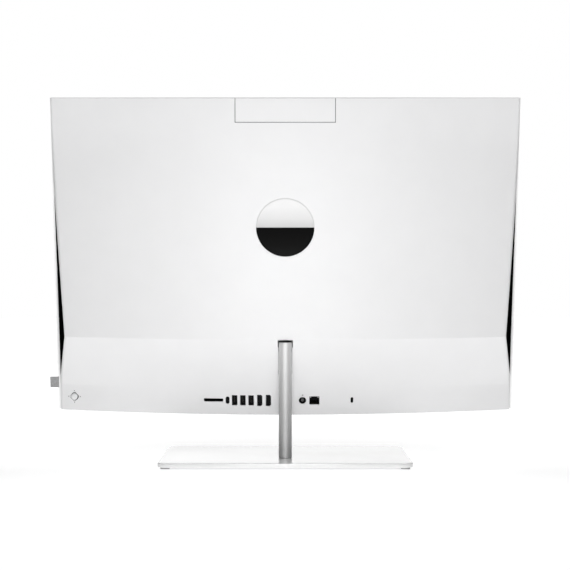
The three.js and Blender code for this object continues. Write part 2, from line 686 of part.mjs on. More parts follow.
const body = new THREE.Group();
body.position.set(0, BODY.y, BODY.z);
body.rotation.x = -THREE.MathUtils.degToRad(BODY.tilt);
body.add(
  named("front_frame", frontFrame(), whitePaint),
  named("front_glass", frontGlass(), glass),
  named("display_panel", displayPanel(), blackPlastic),
  named("speaker_grille", speakerGrille(), greyFabric),
  named("fabric_tab", fabricTab(), greyFabric),
  named("rear_cover", rearCover(), whitePaint),
  named("emblem_disc", emblemDisc(), mirror),
  named("chassis", chassis(), steel),
  named("hinge_bracket", hingeBracket(), steel),
  named("mainboard", mainboard(), board),
  named("cold_plate", coldPlate(), copper),
  named("heat_pipe", heatPipe(), copper),
  named("fin_stack", finStack(), aluminium),
  named("fan_housing", fanHousing(), blackPlastic),
  named("fan_rotor", fanRotor(), blackPlastic),
  named("solid_state_drive", solidStateDrive(), board),
  named("wireless_card", wirelessCard(), board),
  named("card_reader", cardReader(), blackPlastic),
  named("usb_c_socket", reversibleSocket(76.6), steel),
  named("power_jack", powerJack(), blackPlastic),
  named("network_socket", networkSocket(), blackPlastic),
  named("lock_plate", lockPlate(), steel),
  named("status_light", statusLight(), whiteGloss),
  named("camera_housing", cameraHousing(), whitePaint),
  named("camera_lens", cameraLens(), glass),
  named("camera_cradle", cameraCradle(), blackPlastic),
  named("joystick_switch", joystickSwitch(), blackPlastic),
  named("joystick_ring", joystickRing(), blackPlastic),
  named("joystick_stem", joystickStem(), steel),
  named("joystick_cap", joystickCap(), whitePaint),
  named("power_button", powerButton(), whitePaint),
);
for (const [name, side] of [["right", 1], ["left", -1]]) {
  body.add(
    named(`speaker_${name}`, speaker(side), blackPlastic),
    named(`side_vent_${name}`, sideVent(side), blackPlastic),
    named(`bracket_screw_${name}`, bracketScrew(side), steel),
  );
}
[67.2, 56.2, 45.3].forEach((x, i) => body.add(named(`usb_socket_${i + 1}`, usbSocket(x), steel)));
[33.9, 22.3].forEach((x, i) => body.add(named(`video_socket_${i + 1}`, videoSocket(x), steel)));
[106, 142].forEach((low, i) => body.add(named(`memory_module_${i + 1}`, memoryModule(low), board)));

const part = new THREE.Group();
part.add(stand, body);
export default part;
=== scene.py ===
import json
import math

import bmesh
import bpy
from mathutils import Matrix, Vector

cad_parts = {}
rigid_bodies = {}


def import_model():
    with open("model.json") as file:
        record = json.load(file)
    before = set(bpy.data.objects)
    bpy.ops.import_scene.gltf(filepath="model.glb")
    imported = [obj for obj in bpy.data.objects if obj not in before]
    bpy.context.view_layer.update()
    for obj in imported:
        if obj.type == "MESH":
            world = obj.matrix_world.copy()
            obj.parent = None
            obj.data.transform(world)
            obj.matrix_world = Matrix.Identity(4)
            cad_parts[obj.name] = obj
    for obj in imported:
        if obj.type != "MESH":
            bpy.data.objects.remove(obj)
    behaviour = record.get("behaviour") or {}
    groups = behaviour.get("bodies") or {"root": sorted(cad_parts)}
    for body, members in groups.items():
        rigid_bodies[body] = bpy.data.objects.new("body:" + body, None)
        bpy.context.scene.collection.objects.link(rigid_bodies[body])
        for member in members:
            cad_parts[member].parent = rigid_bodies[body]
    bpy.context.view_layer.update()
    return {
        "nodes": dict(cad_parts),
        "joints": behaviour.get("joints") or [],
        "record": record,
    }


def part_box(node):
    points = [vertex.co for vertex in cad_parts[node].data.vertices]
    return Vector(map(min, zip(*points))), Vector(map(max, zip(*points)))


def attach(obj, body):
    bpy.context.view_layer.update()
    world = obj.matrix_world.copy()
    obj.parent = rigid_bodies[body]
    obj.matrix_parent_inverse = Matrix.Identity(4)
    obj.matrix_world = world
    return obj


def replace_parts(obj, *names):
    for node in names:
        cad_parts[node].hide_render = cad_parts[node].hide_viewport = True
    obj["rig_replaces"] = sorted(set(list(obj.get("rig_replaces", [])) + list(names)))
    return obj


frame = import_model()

# Shapes are drawn in millimetres. The screen body is drawn in its own axes: x along its width,
# y for depth behind the front plane, z for height up along the screen.
MM = 0.001
nodes = frame["nodes"]
joints = {joint["name"]: joint for joint in frame["joints"]}
up = Vector(joints["camera_slide"]["axis"]).normalized()
rearward = Vector((1, 0, 0)).cross(up) * -1
frame_low, frame_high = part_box("front_frame")
HALF_WIDTH = frame_high.x / MM
FRAME_DEPTH = 4.7
BODY_HEIGHT = (frame_high.z - frame_low.z - FRAME_DEPTH * MM * abs(rearward.z)) / up.z / MM
body_origin = Vector((0, frame_low.y, frame_low.z - FRAME_DEPTH * MM * rearward.z))
TO_BODY = Matrix.Translation(body_origin) @ Matrix(
    ((1, 0, 0, 0), (0, rearward.y, up.y, 0), (0, rearward.z, up.z, 0), (0, 0, 0, 1))
) @ Matrix.Scale(MM, 4)
TO_STAND = Matrix.Scale(MM, 4)


# ---- The camera, level, behind the object ----

def place_camera():
    data = bpy.data.cameras.new("camera")
    data.lens = 92.07
    data.sensor_width = 36
    data.clip_end = 50
    camera = bpy.data.objects.new("camera", data)
    camera.location = (0.00035, 1.946, 0.2341)
    camera.rotation_euler = (math.radians(90), 0, math.radians(180))
    bpy.context.scene.collection.objects.link(camera)
    bpy.context.scene.camera = camera


place_camera()


# ---- Materials ----

def new_material(name):
    made = bpy.data.materials.new(name)
    made.use_nodes = True
    tree = made.node_tree
    return made, tree, tree.nodes["Principled BSDF"]


def add(tree, kind, **settings):
    node = tree.nodes.new(kind)
    for key, value in settings.items():
        if key in node.inputs:
            node.inputs[key].default_value = value
        else:
            setattr(node, key, value)
    return node


def object_coordinates(tree, stretch=(1, 1, 1)):
    coordinates = add(tree, "ShaderNodeTexCoord")
    mapping = add(tree, "ShaderNodeMapping", Scale=stretch)
    tree.links.new(coordinates.outputs["Object"], mapping.inputs["Vector"])
    return mapping.outputs["Vector"]


def noise(tree, vector, scale, detail=3.0):
    node = add(tree, "ShaderNodeTexNoise", Scale=scale, Detail=detail)
    tree.links.new(vector, node.inputs["Vector"])
    return node.outputs["Fac"]


def ranged(tree, value, low, high, start=0.3, end=0.7):
    node = add(tree, "ShaderNodeMapRange")
    for key, number in zip(("From Min", "From Max", "To Min", "To Max"), (start, end, low, high)):
        node.inputs[key].default_value = number
    tree.links.new(value, node.inputs["Value"])
    return node.outputs["Result"]


def mixed(tree, factor, first, second):
    node = add(tree, "ShaderNodeMix", data_type="RGBA")
    node.inputs["A"].default_value = (*first, 1)
    node.inputs["B"].default_value = (*second, 1)
    tree.links.new(factor, node.inputs["Factor"])
    return node.outputs["Result"]


def bumped(tree, shader, value, distance):
    node = add(tree, "ShaderNodeBump", Distance=distance)
    tree.links.new(value, node.inputs["Height"])
    tree.links.new(node.outputs["Normal"], shader.inputs["Normal"])


def axis_value(tree, axis):
    """The object coordinate along one axis."""
    separate = add(tree, "ShaderNodeSeparateXYZ")
    tree.links.new(object_coordinates(tree), separate.inputs["Vector"])
    return separate.outputs[axis]


def grained(tree, shader, vector, roughness, grain, relief, spread):
    """A fine grain in gloss and height."""
    fine = noise(tree, vector, grain)
    gloss = ranged(tree, fine, roughness - spread, roughness + spread)
    tree.links.new(gloss, shader.inputs["Roughness"])
    bumped(tree, shader, fine, relief)


def surface(name, color, roughness, metallic=0.0, coat=0.0, grain=1500, relief=0.00001,
            spread=0.05, shade=0.94, shine=0.5):
    """Plastic, metal or paint with a fine grain, and patches of slightly different tone."""
    made, tree, shader = new_material(name)
    shader.inputs["Metallic"].default_value = metallic
    shader.inputs["Coat Weight"].default_value = coat
    shader.inputs["Coat Roughness"].default_value = 0.05
    shader.inputs["Specular IOR Level"].default_value = shine
    vector = object_coordinates(tree)
    patches = ranged(tree, noise(tree, vector, grain / 60), 0, 1)
    darker = tuple(channel * shade for channel in color)
    tree.links.new(mixed(tree, patches, darker, color), shader.inputs["Base Color"])
    grained(tree, shader, vector, roughness, grain, relief, spread)
    return made


def woven(name, warp, weft, pitch):
    """Plain-woven cloth: two sets of threads that pass over and under each other."""
    made, tree, shader = new_material(name)
    shader.inputs["Roughness"].default_value = 0.9
    shader.inputs["Sheen Weight"].default_value = 0.4
    vector = object_coordinates(tree)
    threads = []
    for direction in ("X", "Z"):
        wave = add(tree, "ShaderNodeTexWave", Scale=math.pi / 10 / pitch, bands_direction=direction,
                   Distortion=0.6)
        wave.inputs["Detail Scale"].default_value = 3
        tree.links.new(vector, wave.inputs["Vector"])
        threads.append(wave.outputs["Fac"])
    crossing = add(tree, "ShaderNodeMath", operation="MULTIPLY")
    tree.links.new(threads[0], crossing.inputs[0])
    tree.links.new(threads[1], crossing.inputs[1])
    fibres = noise(tree, vector, 2200)
    heather = noise(tree, object_coordinates(tree, (1, 1, 4)), 420)
    height = add(tree, "ShaderNodeMath", operation="MULTIPLY_ADD")
    tree.links.new(fibres, height.inputs[0])
    height.inputs[1].default_value = 0.3
    tree.links.new(crossing.outputs[0], height.inputs[2])
    tree.links.new(mixed(tree, ranged(tree, heather, 0, 1, 0.4, 0.6), warp, weft),
                   shader.inputs["Base Color"])
    bumped(tree, shader, height.outputs[0], pitch * 0.35)
    return made


def circuit(name):
    """A printed board: green mask over copper lines, with a fine speckle of pads."""
    made, tree, shader = new_material(name)
    shader.inputs["Roughness"].default_value = 0.35
    cells = add(tree, "ShaderNodeTexBrick", Scale=260)
    cells.inputs["Color1"].default_value = (0.01, 0.09, 0.05, 1)
    cells.inputs["Color2"].default_value = (0.015, 0.13, 0.07, 1)
    cells.inputs["Mortar"].default_value = (0.06, 0.2, 0.1, 1)
    tree.links.new(object_coordinates(tree), cells.inputs["Vector"])
    tree.links.new(cells.outputs["Color"], shader.inputs["Base Color"])
    bumped(tree, shader, cells.outputs["Fac"], 0.00005)
    return made


def painted_reflection_disc(name, level, reach=0.038):
    """A polished disc with a painted reflection, pale above a level line and black below it, shaded
    over a reach each way.
    """
    made, tree, shader = new_material(name)
    shader.inputs["Specular IOR Level"].default_value = 0.01
    ramp = add(tree, "ShaderNodeValToRGB")
    # Painted reflection: near black below the line, a little lighter toward the bottom, and pale grey
    # growing lighter toward the top.
    reflection_stops = [(0.0, 0.012), (0.2, 0.006), (0.498, 0.002), (0.502, 0.66), (0.66, 0.8), (0.85, 0.88)]
    while len(ramp.color_ramp.elements) < len(reflection_stops):
        ramp.color_ramp.elements.new(0.5)
    for element, (place, value) in zip(ramp.color_ramp.elements, reflection_stops):
        element.position = place
        element.color = (value, value, value, 1)
    height = ranged(tree, axis_value(tree, "Z"), 0, 1, level - reach, level + reach)
    tree.links.new(height, ramp.inputs["Fac"])
    tree.links.new(ramp.outputs["Color"], shader.inputs["Base Color"])
    polish = noise(tree, object_coordinates(tree), 300)
    tree.links.new(ranged(tree, polish, 0.06, 0.12), shader.inputs["Roughness"])
    return made


def brushed_tube_painted_highlight(name):
    """Upright-brushed aluminium, its base colour lighter toward the top of the column as a painted
    highlight.
    """
    made, tree, shader = new_material(name)
    shader.inputs["Metallic"].default_value = 1.0
    shader.inputs["Coat Roughness"].default_value = 0.05
    # Painted highlight: the base colour runs from darker grey low on the column to lighter grey
    # higher up.
    tone = mixed(tree, ranged(tree, axis_value(tree, "Z"), 0, 1, 0.07, 0.15),
                 (0.57, 0.57, 0.57), (0.76, 0.76, 0.76))
    tree.links.new(tone, shader.inputs["Base Color"])
    grained(tree, shader, object_coordinates(tree, (1, 1, 0.02)), 0.64, 4000, 0.000004, 0.05)
    return made


def glowing(tree, shader, strength):
    """White light given off by a surface, of a varying strength."""
    tree.links.new(strength, shader.inputs["Emission Strength"])
    shader.inputs["Emission Color"].default_value = (1, 1, 1, 1)


def rim_lacquer_painted_glow(name):
    """Glossy white lacquer with a painted glow: it gives off a little light along the two upright
    edges.
    """
    made = surface(name, (0.92, 0.92, 0.92), 0.22, coat=1.0, grain=1400, relief=0.0000005,
                   spread=0.01, shade=0.992)
    tree = made.node_tree
    across = add(tree, "ShaderNodeMath", operation="ABSOLUTE")
    tree.links.new(axis_value(tree, "X"), across.inputs[0])
    edge = HALF_WIDTH * MM
    # Painted highlight: the lacquer gives off light within a few millimetres of the two upright
    # edges.
    strength = ranged(tree, across.outputs[0], 0, 0.28, edge - 0.004, edge - 0.001)
    glowing(tree, tree.nodes["Principled BSDF"], strength)
    return made


looks = {
    "white_body": surface("white_body", (0.86, 0.86, 0.865), 0.42, grain=1800, shade=0.985),
    "white_gloss": surface("white_gloss", (0.86, 0.86, 0.86), 0.2, coat=0.4, grain=1400,
                           relief=0.00000005, spread=0.004, shade=0.992),
    "white_rim": rim_lacquer_painted_glow("white_rim"),
    "black_plastic": surface("black_plastic", (0.006, 0.006, 0.0062), 0.5, grain=2200, shine=0.12),
    "vent_black": surface("vent_black", (0.002, 0.002, 0.002), 0.6, grain=2200, shine=0.0),
    "satin_aluminium": brushed_tube_painted_highlight("satin_aluminium"),
    "plain_steel": surface("plain_steel", (0.5, 0.5, 0.52), 0.35, metallic=1, grain=900),
    "grey_rubber": surface("grey_rubber", (0.38, 0.38, 0.38), 0.75, grain=1200, relief=0.00003),
    "dark_glass": surface("dark_glass", (0.01, 0.01, 0.012), 0.04, coat=1, grain=60,
                          relief=0.0000005, spread=0.01),
    "display_back": surface("display_back", (0.02, 0.02, 0.022), 0.2, grain=800),
    "copper": surface("copper", (0.72, 0.36, 0.2), 0.3, metallic=1, grain=1500),
    "socket_steel": surface("socket_steel", (0.016, 0.016, 0.017), 0.35, metallic=1, grain=1600),
    # Painted shade: the jack's pin gets a dark metal colour, standing in for the shade deep in its
    # socket.
    "pin_nickel": surface("pin_nickel", (0.2, 0.2, 0.2), 0.4, metallic=1, grain=1600),
    "lamp_plastic": surface("lamp_plastic", (0.42, 0.42, 0.4), 0.3, grain=900),
    "gold": surface("gold", (0.1, 0.09, 0.06), 0.3, metallic=1, grain=2000),
    "grey_fabric": woven("grey_fabric", (0.34, 0.34, 0.345), (0.48, 0.48, 0.485), 0.0007),
    "circuit_board": circuit("circuit_board"),
    "mirror_disc": painted_reflection_disc("mirror_disc", sum(corner.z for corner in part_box("emblem_disc")) / 2),
}


# ---- Mesh helpers ----

def loft(rings, into=None, hollow=False):
    """A closed body through rings of points, closed by flat ends or, if hollow, onto itself."""
    bm = into or bmesh.new()
    loops = [[bm.verts.new(point) for point in ring] for ring in rings]
    pairs = list(zip(loops, loops[1:]))
    if hollow:
        pairs.append((loops[-1], loops[0]))
    else:
        bm.faces.new(loops[0][::-1])
        bm.faces.new(loops[-1])
    for first, second in pairs:
        for i in range(len(first)):
            j = (i + 1) % len(first)
            bm.faces.new((first[i], first[j], second[j], second[i]))
    return bm


def lay(outline, level, axis):
    """Places a flat outline at a level on an axis, its two numbers being the other two axes."""
    if axis == "x":
        return [(level, a, b) for a, b in outline]
    if axis == "y":
        return [(a, level, b) for a, b in outline]
    return [(a, b, level) for a, b in outline]


def prism(outline, start, end, axis, into=None):
    return loft([lay(outline, level, axis) for level in (start, end)], into)


def rectangle(x0, x1, y0, y1):
    return [(x0, y0), (x1, y0), (x1, y1), (x0, y1)]


def rounded_outline(x0, x1, y0, y1, radius, steps=8):
    """Corner points of a rounded rectangle, anticlockwise."""
    corners = ((x1 - radius, y0 + radius, -90), (x1 - radius, y1 - radius, 0),
               (x0 + radius, y1 - radius, 90), (x0 + radius, y0 + radius, 180))
    points = []
    for cx, cy, start in corners:
        for i in range(steps + 1):
            angle = math.radians(start + 90 * i / steps)
            points.append((cx + radius * math.cos(angle), cy + radius * math.sin(angle)))
    return points


def circle_outline(x, y, radius, steps=48):
    turn = 2 * math.pi / steps
    return [(x + radius * math.cos(i * turn), y + radius * math.sin(i * turn)) for i in range(steps)]


def quarter_rounds(start, end, first, last, steps=4):
    """(level, inset) pairs from start to end, with a quarter round of its own radius at each."""
    angles = [math.pi / 2 * i / steps for i in range(steps + 1)]
    pairs = [(start + first * (1 - math.cos(a)), first * (1 - math.sin(a))) for a in angles]
    return pairs + [(end - last * (1 - math.sin(a)), last * (1 - math.cos(a))) for a in angles]


def rounded_slab(x0, x1, y0, y1, corner, edges, axis, into=None):
    """A rounded rectangle whose rim follows (level, inset) pairs."""
    rings = []
    for level, inset in edges:
        outline = rounded_outline(x0 + inset, x1 - inset, y0 + inset, y1 - inset,
                                  max(corner - inset, 0.1))
        rings.append(lay(outline, level, axis))
    return loft(rings, into)


def turned(profile, x, y, axis, steps=64, into=None, hollow=False):
    """A body turned about a line along an axis. The profile holds (radius, level) pairs."""
    rings = [lay(circle_outline(x, y, radius, steps), level, axis) for radius, level in profile]
    return loft(rings, into, hollow)


def plain_object(bm, name):
    bmesh.ops.recalc_face_normals(bm, faces=bm.faces)
    mesh = bpy.data.meshes.new(name)
    bm.to_mesh(mesh)
    bm.free()
    made = bpy.data.objects.new(name, mesh)
    bpy.context.scene.collection.objects.link(made)
    return made


def combine(first, others, operation="DIFFERENCE"):
    """Cuts every other bmesh out of the first one, or keeps what they share."""
    target = plain_object(first, "target")
    tools = [plain_object(other, "tool") for other in others]
    for tool in tools:
        modifier = target.modifiers.new("boolean", "BOOLEAN")
        modifier.object = tool
        modifier.operation = operation
        modifier.solver = "MANIFOLD"
    graph = bpy.context.evaluated_depsgraph_get()
    result = bmesh.new()
    result.from_object(target, graph)
    for unused in [target, *tools]:
        bpy.data.objects.remove(unused)
    return result


def piece(name, bm, look, body, replaces=(), place=None, smooth=30):
    """Makes a bmesh drawn in millimetres into a finished piece that rides on a body."""
    bmesh.ops.recalc_face_normals(bm, faces=bm.faces)
    bmesh.ops.transform(bm, matrix=place or TO_BODY, verts=bm.verts)
    mesh = bpy.data.meshes.new(name)
    bm.to_mesh(mesh)
    bm.free()
    mesh.materials.append(looks[look])
    made = bpy.data.objects.new(name, mesh)
    bpy.context.scene.collection.objects.link(made)
    mesh.shade_smooth()
    mesh.set_sharp_from_angle(angle=math.radians(smooth))
    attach(made, body)
    if replaces:
        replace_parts(made, *replaces)
    return made


# ---- The rear cover's form ----

COVER_FRONT = 5.0
SKIN_FRONT = FRAME_DEPTH + 0.05
WALL = 2.5
CREASE = 106.0
LOW_KNEE, HIGH_KNEE = 31.0, 380.0
CENTRE_LOW, CENTRE_CREASE, CENTRE_TOP = 35.6, 55.6, 15.0
EDGE_DEPTH, EDGE_CREASE = 7.5, 35.6
FRONT_LOW, FRONT_TOP = 302.9, 306.5
SIDE_SLOPE = 0.395
EDGE_ROUND = 2.6


def between(share, low, high):
    return low + (high - low) * share


def above_crease(height):
    return min(max((height - CREASE) / (BODY_HEIGHT - CREASE), 0), 1)


def centre_depth(height):
    if height < CREASE:
        return between(height / CREASE, CENTRE_LOW, CENTRE_CREASE)
    return between(above_crease(height), CENTRE_CREASE, CENTRE_TOP)


def side_depth(height, ease=0.12):
    """Straight from knee to crease, apart from a soft start at the knee."""
    knee = LOW_KNEE if height < CREASE else HIGH_KNEE
    share = min(max((height - knee) / (CREASE - knee), 0), 1)
    eased = share * share / (2 * ease) if share < ease else share - ease / 2
    return between(eased / (1 - ease / 2), EDGE_DEPTH, EDGE_CREASE)


def front_half(height):
    return between(above_crease(height), FRONT_LOW, FRONT_TOP)


def rear_half(height):
    return front_half(height) - SIDE_SLOPE * (side_depth(height) - COVER_FRONT)


def cover_depth(x, height):
    side = side_depth(height)
    return side + (centre_depth(height) - side) * (1 - (x / rear_half(height)) ** 2)


def cover_normal(x, height):
    step = 0.2
    slope_x = (cover_depth(x + step, height) - cover_depth(x - step, height)) / (2 * step)
    slope_z = (cover_depth(x, height + step) - cover_depth(x, height - step)) / (2 * step)
    return Vector((-slope_x, 1, -slope_z)).normalized()


def cover_heights(inset):
    """Rows of the cover's mesh, close together where it folds."""
    rows = [inset, CREASE - 0.7, CREASE, CREASE + 0.7, BODY_HEIGHT - inset]
    rows += [4 + i * 8 for i in range(12)]
    rows += [112 + i * 9 for i in range(34)]
    return sorted(row for row in rows if inset <= row <= BODY_HEIGHT - inset)


def cover_section(height, inset, front, radius, columns):
    """One row of the cover: the two side walls, their rounded edges and the bowed rear face."""
    rear = rear_half(height) - inset
    side = side_depth(height) - inset
    half = front_half(height) + SIDE_SLOPE * (COVER_FRONT - front) - inset
    right = [(half, front)]
    if radius:
        wall = Vector((half - rear, front - side)).normalized()
        inner_x = rear - radius
        face = Vector((inner_x - rear, cover_depth(inner_x, height) - inset - side)).normalized()
        corner = Vector((rear, side))
        reach = min(radius, 0.7 * (side - front))
        for i in range(6):
            share = i / 5
            start, end = corner + wall * reach, corner + face * radius
            right.append(tuple(start.lerp(corner, share).lerp(corner.lerp(end, share), share)))
    else:
        right.append((rear, side))
    inner = right[-1][0]
    points = []
    for i in range(1, columns):
        x = between(i / columns, inner, -inner)
        points.append((x, cover_depth(x / rear * rear_half(height), height) - inset))
    return right + points + [(-x, depth) for x, depth in right[::-1]]


def cover_solid(inset=0.0, front=SKIN_FRONT, radius=EDGE_ROUND, columns=72, heights=None):
    rows = heights or cover_heights(inset)
    return loft([lay(cover_section(height, inset, front, radius, columns), height, "z")
                 for height in rows])


def on_cover(bm, x, height):
    """Moves a bmesh drawn about the origin, facing +y, onto the cover's rear face."""
    turn = Vector((0, 1, 0)).rotation_difference(cover_normal(x, height)).to_matrix().to_4x4()
    move = Matrix.Translation((x, cover_depth(x, height), height))
    bmesh.ops.transform(bm, matrix=move @ turn, verts=bm.verts)
    return bm


def follow_cover(made):
    """Gives the parts of a piece that lie on the bowed rear face the face's exact normals."""
    mesh = made.data
    to_mm = TO_BODY.inverted()
    turn = TO_BODY.to_3x3().normalized()
    places = [to_mm @ vertex.co for vertex in mesh.vertices]
    normals = [(0, 0, 0)] * len(mesh.loops)
    for polygon in mesh.polygons:
        centre = to_mm @ polygon.center
        facing = turn.inverted() @ polygon.normal
        if facing.dot(cover_normal(centre.x, centre.z)) < 0.985:
            continue
        for index in polygon.loop_indices:
            place = places[mesh.loops[index].vertex_index]
            if abs(place.y - cover_depth(place.x, place.z)) > 0.05:
                continue
            toward = place.lerp(centre, 0.3)
            normals[index] = tuple(turn @ cover_normal(place.x, toward.z))
    mesh.normals_split_custom_set(normals)


# ---- Lights, floor and backdrop, in metres ----

FLOOR_RADIUS = 9


def area_light(name, location, target, size, power):
    data = bpy.data.lights.new(name, "AREA")
    data.shape = "RECTANGLE"
    data.size, data.size_y = size
    data.energy = power
    light = bpy.data.objects.new(name, data)
    light.location = location
    light.rotation_euler = (Vector(target) - Vector(location)).to_track_quat("-Z", "Y").to_euler()
    light.visible_camera = False
    bpy.context.scene.collection.objects.link(light)


def stage_object(name, bm, material):
    mesh = bpy.data.meshes.new(name)
    bm.to_mesh(mesh)
    bm.free()
    mesh.materials.append(material)
    made = bpy.data.objects.new(name, mesh)
    bpy.context.scene.collection.objects.link(made)
    return made


def backdrop_white():
    made, _, shader = new_material("backdrop_white")
    shader.inputs["Base Color"].default_value = (0, 0, 0, 1)
    shader.inputs["Specular IOR Level"].default_value = 0
    shader.inputs["Emission Color"].default_value = (1, 1, 1, 1)
    shader.inputs["Emission Strength"].default_value = 1.0
    return made


def floor_paint():
    """White paint that glows away from the object and on its far side, so it meets the backdrop."""
    paint = surface("floor_paint", (0.95, 0.95, 0.95), 0.6, grain=40, shade=0.995)
    tree = paint.node_tree
    distance = add(tree, "ShaderNodeVectorMath", operation="LENGTH")
    tree.links.new(object_coordinates(tree), distance.inputs[0])
    strength = add(tree, "ShaderNodeMath", operation="ADD")
    away = ranged(tree, distance.outputs["Value"], 0.47, 0.8, 0.25, 0.8)
    far_side = ranged(tree, axis_value(tree, "Y"), 0.22, 0, -0.04, 0.12)
    tree.links.new(away, strength.inputs[0])
    tree.links.new(far_side, strength.inputs[1])
    glowing(tree, tree.nodes["Principled BSDF"], strength.outputs[0])
    return paint


def make_stage():
    world = bpy.data.worlds.new("studio")
    world.use_nodes = True
    background = world.node_tree.nodes["Background"]
    background.inputs["Color"].default_value = (1, 1, 1, 1)
    background.inputs["Strength"].default_value = 0.03
    bpy.context.scene.world = world

    floor = bmesh.new()
    bmesh.ops.create_circle(floor, cap_ends=True, segments=96, radius=FLOOR_RADIUS)
    stage_object("floor", floor, floor_paint())

    dome = bmesh.new()
    bmesh.ops.create_uvsphere(dome, u_segments=48, v_segments=24, radius=FLOOR_RADIUS - 0.5)
    backdrop = stage_object("backdrop", dome, backdrop_white())
    backdrop.visible_diffuse = False
    backdrop.visible_glossy = False
    backdrop.visible_shadow = False
    backdrop.visible_transmission = False

    area_light("key", (0, 0.72, 0.27), (0, 0, 0.25), (0.25, 0.52), 2.1)
    area_light("top", (0, 0.4, 2.0), (0, 0.1, 0), (2.4, 2.0), 11)
    area_light("card", (0, -2.2, 0.4), (0, 0, 0.2), (3.2, 0.78), 10.8)
    area_light("under", (0, 0.3, 0.012), (0, 0, 0.08), (0.16, 0.02), 0.025)


make_stage()
bpy.context.scene.view_settings.view_transform = "Standard"


# ---- Rear cover ----

PORT_HEIGHT = 20.5
USB_X = (67.2, 56.2, 45.3)
VIDEO_X = (33.9, 22.3)
USB_C_X, CARD_X, JACK_X, NETWORK_X, LOCK_X = 76.6, 95.3, -22.8, -38.6, -88.5
USB_WINDOW, USB_C_WINDOW, CARD_WINDOW = (7.3, 14.5), (5.1, 10.5), (25.8, 4.6)
NETWORK_WINDOW, LOCK_WINDOW = (13.4, 11.8), (3.6, 8.0)
LIGHT_HEIGHT = PORT_HEIGHT + 7.4
COLUMN_SLOT = (-8.9, 8.9, 57, 96)
COLUMN_WINDOW = (-9.9, 9.9, 95, CREASE - 0.4)
BUTTON_HOLE = (232.6, 247.4, 6.7, 12.1)
JOYSTICK_X, JOYSTICK_HEIGHT = 283.6, 19.0
JOYSTICK_DOTS = ((8.1, 0), (0, 8.1), (-8.1, 0), (0, -8.1))
CAMERA_HALF, CAMERA_LOW, CAMERA_FRONT = 65.6, 386.3, 6.1
EMBLEM_HEIGHT, EMBLEM_RADIUS = 251.3, 37.8
VENT_LOW, VENT_HIGH, VENT_REAR = 43.0, 309.0, 33.8


def through(outline):
    """A cutter that runs through the cover's rear wall."""
    return prism(outline, 28, 62, "y")


def window(x, size, radius):
    half, tall = size[0] / 2, size[1] / 2
    return through(rounded_outline(x - half, x + half, PORT_HEIGHT - tall, PORT_HEIGHT + tall,
                                   radius, 4))


def video_outline(x, grow):
    """A video socket on end, chamfered on its -x side."""
    half, tall = 2.6 + grow, 7.2 + grow
    corners = [(half, -tall), (half, tall), (-half + 1.6, tall), (-half, tall - 1.8),
               (-half, -tall + 1.8), (-half + 1.6, -tall)]
    return [(x + a, PORT_HEIGHT + b) for a, b in corners]


def diamond(half, radius):
    """A square on its corner, with round corners."""
    side = half / math.sqrt(2)
    return [((a - b) / math.sqrt(2), (a + b) / math.sqrt(2))
            for a, b in rounded_outline(-side, side, -side, side, radius)]


def joystick_cuts():
    """The well of the joystick, its diamond recess and a small dot beyond each corner."""
    well = prism(circle_outline(0, 0, 5.2), -6, 2, "y")
    recess = loft([lay(diamond(half, 2.0), level, "y")
                   for half, level in ((6.8, -1.8), (7.3, -1.4), (7.5, -0.2), (7.7, 0.02), (7.7, 1))])
    dots = [prism(circle_outline(a, b, 0.6, 16), -0.5, 1, "y") for a, b in JOYSTICK_DOTS]
    return [on_cover(bm, JOYSTICK_X, JOYSTICK_HEIGHT) for bm in (well, recess, *dots)]


def bay_outline(half, low):
    """The camera's bay, which is open at the top of the body."""
    return rectangle(-half, half, low, 440)


def vent_prism(x0, x1):
    outline = [(COVER_FRONT - 1, VENT_LOW), (COVER_FRONT, VENT_LOW), (VENT_REAR, CREASE),
               (COVER_FRONT, VENT_HIGH), (COVER_FRONT - 1, VENT_HIGH)]
    return prism(outline, x0, x1, "x")


def make_rear_cover():
    cutters = [window(x, USB_WINDOW, 0.6) for x in USB_X]
    cutters += [through(video_outline(x, 0.85)) for x in VIDEO_X]
    cutters += [
        window(USB_C_X, USB_C_WINDOW, 2.4),
        window(CARD_X, CARD_WINDOW, 1.0),
        window(NETWORK_X, NETWORK_WINDOW, 0.6),
        window(LOCK_X, LOCK_WINDOW, 1.75),
        through(circle_outline(JACK_X, PORT_HEIGHT, 4.9)),
        through(circle_outline(JACK_X, LIGHT_HEIGHT, 1.1, 24)),
        prism(rectangle(*COLUMN_SLOT), 20, 70, "y"),
        prism(rounded_outline(*COLUMN_WINDOW, 0.8), 20, 70, "y"),
        prism(bay_outline(CAMERA_HALF, CAMERA_LOW), CAMERA_FRONT, 40, "y"),
        on_cover(prism(circle_outline(0, 0, EMBLEM_RADIUS + 0.25, 128), -1.5, 5, "y"),
                 0, EMBLEM_HEIGHT),
        prism(rounded_outline(*BUTTON_HOLE, 2.6), -1, 4, "z"),
        vent_prism(280, 320),
        vent_prism(-320, -280),
        *joystick_cuts(),
    ]
    outer = cover_solid()
    rim = [e for e in outer.edges if all(v.co.y > COVER_FRONT + 0.3 for v in e.verts)
           and (all(v.co.z < 0.01 for v in e.verts)
                or all(v.co.z > BODY_HEIGHT - 0.01 for v in e.verts))]
    bmesh.ops.bevel(outer, geom=rim, offset=1.2, segments=3, profile=0.5, affect="EDGES",
                    clamp_overlap=True)
    inner = cover_solid(WALL, COVER_FRONT - 1, 0, 48)
    follow_cover(piece("rear_skin", combine(outer, [inner, *cutters]), "white_body", "screen",
                       ["rear_cover"], smooth=22))


make_rear_cover()


# ---- Front frame, glass and cloth ----

LIP = 2.4
CHIN_TOP, GLASS_LOW = 77.0, 79.6
FLANGE = 299.5
TAB_LOW, TAB_HIGH, TAB_INNER, TAB_OUTER = 30.0, 44.8, 304.9, 316.9


